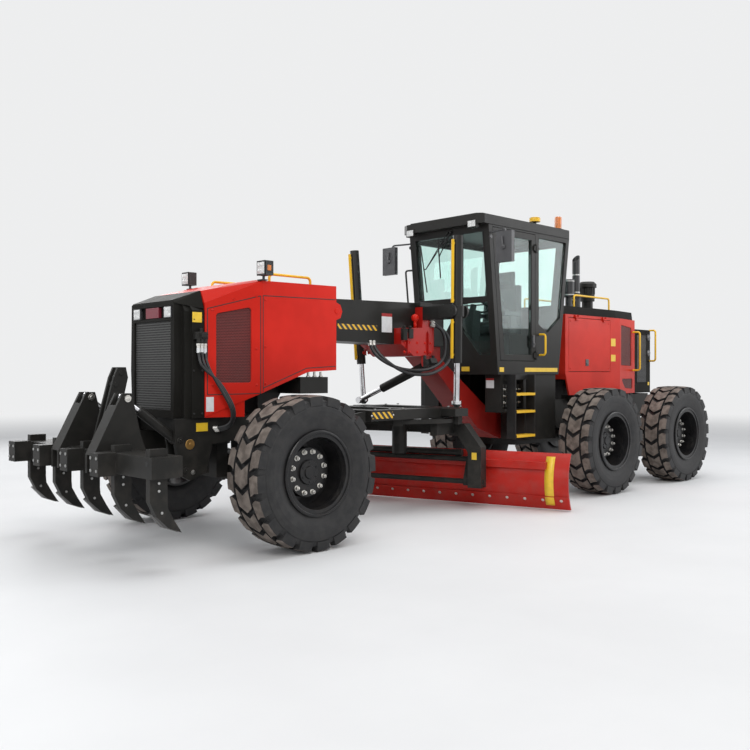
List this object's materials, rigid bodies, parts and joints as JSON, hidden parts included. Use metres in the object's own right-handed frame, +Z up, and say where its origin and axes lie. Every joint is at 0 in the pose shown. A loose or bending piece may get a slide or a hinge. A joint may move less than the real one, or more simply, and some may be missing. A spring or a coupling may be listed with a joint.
{
  "type": "motor grader",
  "caption": "Six-wheel articulated motor grader with a turning blade under its frame and a five-shank ripper in front; wheels, steering, blade, ripper, doors and cylinders move.",
  "frame": {"origin": "on the ground under the middle of the overall length, on the machine's centre plane", "axes": "+X forward towards the ripper, +Y to the machine's left, +Z up"},
  "size_m": [9.274, 3.4446, 3.59],
  "materials": {
    "paint_red": "gloss",
    "paint_black": "satin",
    "paint_yellow": "satin",
    "tyre": "matte",
    "rim": "satin",
    "cylinder_rod": "polished",
    "steel": "satin",
    "cast_iron": "rough",
    "exhaust": "satin",
    "glass": "clear",
    "lamp": "gloss",
    "cab_trim": "matte"
  },
  "bodies": {
    "front_frame": {"front_frame": "paint_black", "gooseneck": "paint_red", "saddle": "paint_red", "front_hood": "paint_red", "nose_cowl": "paint_black", "front_lamps": "lamp", "cab_shell": "paint_black", "cab_glass": "glass", "cab_roof": "paint_black", "operator_station": "cab_trim", "side_cabinets": "paint_black", "access_rails": "paint_yellow", "mirrors": "paint_black"},
    "cab_door_left": {"cab_door_left": "paint_black"},
    "cab_door_right": {"cab_door_right": "paint_black"},
    "rear_frame": {"rear_frame": "paint_black", "rear_axle": "paint_black", "engine_block": "cast_iron", "engine_hood": "paint_red", "tail_cowl": "paint_black", "exhaust_stack": "exhaust", "air_cleaner": "paint_black", "tail_rails": "paint_yellow"},
    "engine_door_left": {"engine_door_left": "paint_red"},
    "engine_door_right": {"engine_door_right": "paint_red"},
    "tandem_left": {"tandem_case_left": "paint_black"},
    "tandem_right": {"tandem_case_right": "paint_black"},
    "front_axle": {"front_axle": "paint_black"},
    "lean_left": {"lean_head_left": "paint_black"},
    "lean_right": {"lean_head_right": "paint_black"},
    "knuckle_left": {"knuckle_left": "paint_black"},
    "knuckle_right": {"knuckle_right": "paint_black"},
    "drawbar_ball": {"drawbar_ball": "steel"},
    "drawbar": {"drawbar": "paint_black"},
    "circle": {"circle": "paint_black"},
    "blade_carrier": {"blade_carrier": "paint_black"},
    "moldboard": {"moldboard": "paint_red"},
    "lift_barrel_left": {"lift_barrel_left": "paint_black"},
    "lift_barrel_right": {"lift_barrel_right": "paint_black"},
    "lift_rod_left": {"lift_rod_left": "cylinder_rod"},
    "lift_rod_right": {"lift_rod_right": "cylinder_rod"},
    "centre_shift_knuckle": {"centre_shift_knuckle": "paint_black"},
    "centre_shift_barrel": {"centre_shift_barrel": "paint_black"},
    "centre_shift_rod": {"centre_shift_rod": "cylinder_rod"},
    "ripper_arms": {"ripper_arms": "paint_black"},
    "ripper": {"ripper": "paint_black"},
    "ripper_barrels": {"ripper_barrels": "paint_black"},
    "ripper_rods": {"ripper_rods": "cylinder_rod"},
    "wheel_front_left": {"front_left_rim": "rim", "front_left_tyre": "tyre"},
    "wheel_front_right": {"front_right_rim": "rim", "front_right_tyre": "tyre"},
    "wheel_mid_left": {"mid_left_rim": "rim", "mid_left_tyre": "tyre"},
    "wheel_mid_right": {"mid_right_rim": "rim", "mid_right_tyre": "tyre"},
    "wheel_rear_left": {"rear_left_rim": "rim", "rear_left_tyre": "tyre"},
    "wheel_rear_right": {"rear_right_rim": "rim", "rear_right_tyre": "tyre"}
  },
  "joints": [
    {"name": "articulation", "type": "hinge", "parent": "front_frame", "child": "rear_frame", "pos_m": [-1.83, 0, 0.9], "axis": [0, 0, 1], "range_deg": [-20, 20]},
    {"name": "cab_door_left_hinge", "type": "hinge", "parent": "front_frame", "child": "cab_door_left", "pos_m": [-1.19, 0.654, 2.45], "axis": [0, 0, 1], "range_deg": [0, 85]},
    {"name": "cab_door_right_hinge", "type": "hinge", "parent": "front_frame", "child": "cab_door_right", "pos_m": [-1.19, -0.654, 2.45], "axis": [0, 0, -1], "range_deg": [0, 85]},
    {"name": "engine_door_left_hinge", "type": "hinge", "parent": "rear_frame", "child": "engine_door_left", "pos_m": [-2.755, 0.519, 2.292], "axis": [1, 0, 0], "range_deg": [0, 75]},
    {"name": "engine_door_right_hinge", "type": "hinge", "parent": "rear_frame", "child": "engine_door_right", "pos_m": [-2.755, -0.519, 2.292], "axis": [-1, 0, 0], "range_deg": [0, 75]},
    {"name": "tandem_left_rock", "type": "hinge", "parent": "rear_frame", "child": "tandem_left", "pos_m": [-2.999, 0, 0.675], "axis": [0, 1, 0], "range_deg": [-15, 15]},
    {"name": "mid_left_roll", "type": "hinge", "parent": "tandem_left", "child": "wheel_mid_left", "pos_m": [-2.023, 1.084, 0.675], "axis": [0, 1, 0], "continuous": true},
    {"name": "rear_left_roll", "type": "hinge", "parent": "tandem_left", "child": "wheel_rear_left", "pos_m": [-3.975, 1.084, 0.675], "axis": [0, 1, 0], "continuous": true},
    {"name": "tandem_right_rock", "type": "hinge", "parent": "rear_frame", "child": "tandem_right", "pos_m": [-2.999, 0, 0.675], "axis": [0, 1, 0], "range_deg": [-15, 15]},
    {"name": "mid_right_roll", "type": "hinge", "parent": "tandem_right", "child": "wheel_mid_right", "pos_m": [-2.023, -1.084, 0.675], "axis": [0, 1, 0], "continuous": true},
    {"name": "rear_right_roll", "type": "hinge", "parent": "tandem_right", "child": "wheel_rear_right", "pos_m": [-3.975, -1.084, 0.675], "axis": [0, 1, 0], "continuous": true},
    {"name": "front_axle_rock", "type": "hinge", "parent": "front_frame", "child": "front_axle", "pos_m": [2.96, 0, 0.64], "axis": [-1, 0, 0], "range_deg": [-15, 15]},
    {"name": "lean_left_hinge", "type": "hinge", "parent": "front_axle", "child": "lean_left", "pos_m": [2.96, 0.66, 0.64], "axis": [1, 0, 0], "range_deg": [-17, 17]},
    {"name": "lean_right_hinge", "type": "hinge", "parent": "front_axle", "child": "lean_right", "pos_m": [2.96, -0.66, 0.64], "axis": [1, 0, 0], "range_deg": [-17, 17]},
    {"name": "steer_left", "type": "hinge", "parent": "lean_left", "child": "knuckle_left", "pos_m": [2.96, 0.815, 0.675], "axis": [0, 0, 1], "range_deg": [-40, 40]},
    {"name": "steer_right", "type": "hinge", "parent": "lean_right", "child": "knuckle_right", "pos_m": [2.96, -0.815, 0.675], "axis": [0, 0, 1], "range_deg": [-40, 40]},
    {"name": "front_left_roll", "type": "hinge", "parent": "knuckle_left", "child": "wheel_front_left", "pos_m": [2.96, 1.144, 0.675], "axis": [0, 1, 0], "continuous": true},
    {"name": "front_right_roll", "type": "hinge", "parent": "knuckle_right", "child": "wheel_front_right", "pos_m": [2.96, -1.144, 0.675], "axis": [0, 1, 0], "continuous": true},
    {"name": "drawbar_swing", "type": "hinge", "parent": "front_frame", "child": "drawbar_ball", "pos_m": [2.36, 0, 0.9], "axis": [0, 0, 1], "range_deg": [-10, 10]},
    {"name": "drawbar_lift", "type": "hinge", "parent": "drawbar_ball", "child": "drawbar", "pos_m": [2.36, 0, 0.9], "axis": [0, 1, 0], "range_deg": [-12, 7]},
    {"name": "circle_turn", "type": "hinge", "parent": "drawbar", "child": "circle", "pos_m": [0.59, 0, 1.01], "axis": [0, 0, 1], "continuous": true},
    {"name": "blade_tip", "type": "hinge", "parent": "circle", "child": "blade_carrier", "pos_m": [0.38428, -0.0625, 0.3], "axis": [0.2907, -0.9568, 0], "range_deg": [-5, 40]},
    {"name": "blade_shift", "type": "slide", "parent": "blade_carrier", "child": "moldboard", "axis": [0.2907, -0.9568, 0], "range_m": [-0.5, 0.5]},
    {"name": "lift_barrel_left_swing", "type": "hinge", "parent": "front_frame", "child": "lift_barrel_left", "pos_m": [0.49542, 0.79899, 2.221], "axis": [-1, 0, 0], "range_deg": [-18.6, 18.6]},
    {"name": "lift_rod_left_slide", "type": "slide", "parent": "lift_barrel_left", "child": "lift_rod_left", "axis": [0.0416, 0.047, 0.998], "range_m": [-0.405, 0.236]},
    {"name": "lift_barrel_right_swing", "type": "hinge", "parent": "front_frame", "child": "lift_barrel_right", "pos_m": [0.49542, -0.79899, 2.221], "axis": [-1, 0, 0], "range_deg": [-18.6, 18.6]},
    {"name": "lift_rod_right_slide", "type": "slide", "parent": "lift_barrel_right", "child": "lift_rod_right", "axis": [0.0416, -0.047, 0.998], "range_m": [-0.405, 0.236]},
    {"name": "centre_shift_knuckle_swing", "type": "hinge", "parent": "front_frame", "child": "centre_shift_knuckle", "pos_m": [0.46, 0.355, 1.65], "axis": [-1, 0, 0], "range_deg": [-8.1, 8.1]},
    {"name": "centre_shift_barrel_swing", "type": "hinge", "parent": "centre_shift_knuckle", "child": "centre_shift_barrel", "pos_m": [0.46, 0.355, 1.65], "axis": [-1, 0, 0], "range_deg": [-23, 14]},
    {"name": "centre_shift_rod_slide", "type": "slide", "parent": "centre_shift_barrel", "child": "centre_shift_rod", "axis": [0.2214, -0.8807, -0.4187], "range_m": [-0.28, 0.28]},
    {"name": "ripper_arms_lift", "type": "hinge", "parent": "front_frame", "child": "ripper_arms", "pos_m": [3.705, 0, 0.685], "axis": [0, -1, 0], "range_deg": [-55, 25]},
    {"name": "ripper_pitch", "type": "hinge", "parent": "ripper_arms", "child": "ripper", "pos_m": [4.11, 0, 0.76], "axis": [0, -1, 0], "range_deg": [-17, 36]},
    {"name": "ripper_barrels_swing", "type": "hinge", "parent": "front_frame", "child": "ripper_barrels", "pos_m": [3.76, 0, 0.955], "axis": [0, -1, 0], "range_deg": [-50, 25]},
    {"name": "ripper_rods_slide", "type": "slide", "parent": "ripper_barrels", "child": "ripper_rods", "axis": [0.798, 0, 0.6026], "range_m": [-0.055, 0.03]}
  ],
  "couplings": [
    {"joint": "lean_right_hinge", "follows": "lean_left_hinge", "ratio": 1},
    {"joint": "steer_right", "follows": "steer_left", "ratio": 1},
    {"joint": "lift_barrel_left_swing", "follows": "drawbar_swing", "ratio": 1.85},
    {"joint": "lift_rod_left_slide", "follows": "drawbar_lift", "m_per_rad": 1.915},
    {"joint": "lift_barrel_right_swing", "follows": "drawbar_swing", "ratio": 1.85},
    {"joint": "lift_rod_right_slide", "follows": "drawbar_lift", "m_per_rad": 1.915},
    {"joint": "centre_shift_knuckle_swing", "follows": "drawbar_swing", "ratio": 0.8},
    {"joint": "centre_shift_barrel_swing", "follows": "drawbar_lift", "ratio": 1.9},
    {"joint": "centre_shift_rod_slide", "follows": "drawbar_swing", "m_per_rad": 1.576},
    {"joint": "ripper_pitch", "follows": "ripper_arms_lift", "ratio": -0.65},
    {"joint": "ripper_barrels_swing", "follows": "ripper_arms_lift", "ratio": 0.825},
    {"joint": "ripper_rods_slide", "follows": "ripper_arms_lift", "m_per_rad": 0.0537}
  ]
}
